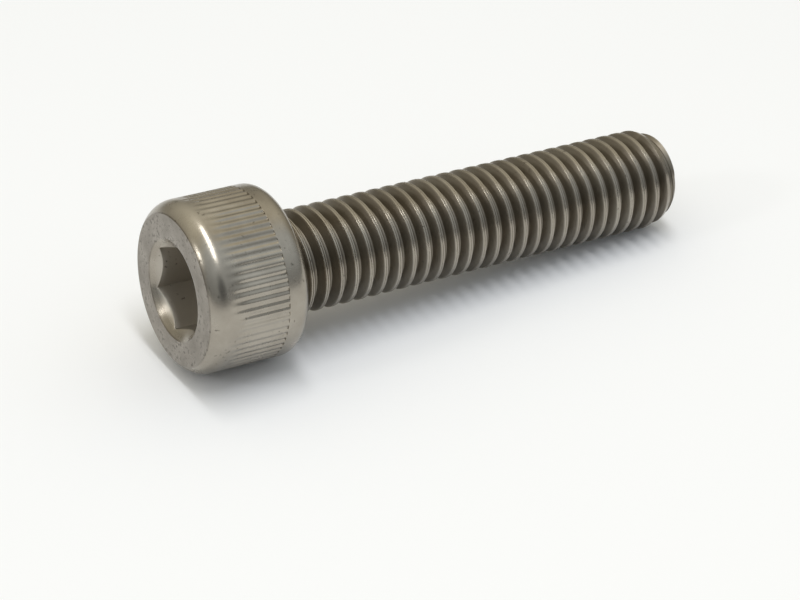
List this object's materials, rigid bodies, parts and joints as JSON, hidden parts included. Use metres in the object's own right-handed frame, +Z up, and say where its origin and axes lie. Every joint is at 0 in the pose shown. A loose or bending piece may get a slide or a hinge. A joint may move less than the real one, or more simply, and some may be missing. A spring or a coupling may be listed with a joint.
{
  "type": "socket head cap screw",
  "caption": "Hexagon socket head cap screw with a straight-knurled round head and a shank threaded along its whole length; it screws into a nut or a tapped hole.",
  "frame": {"origin": "on the surface that the screw lies on, under the middle of its box", "axes": "+Z up; +X along the screw from its head to its point, level, with the screw's own axis sloping down to the point by 4.26 degrees"},
  "size_m": [0.0436, 0.013, 0.0134],
  "materials": {
    "stainless_steel": "satin"
  },
  "bodies": {
    "root": {"cap_screw": "stainless_steel"}
  },
  "joints": []
}
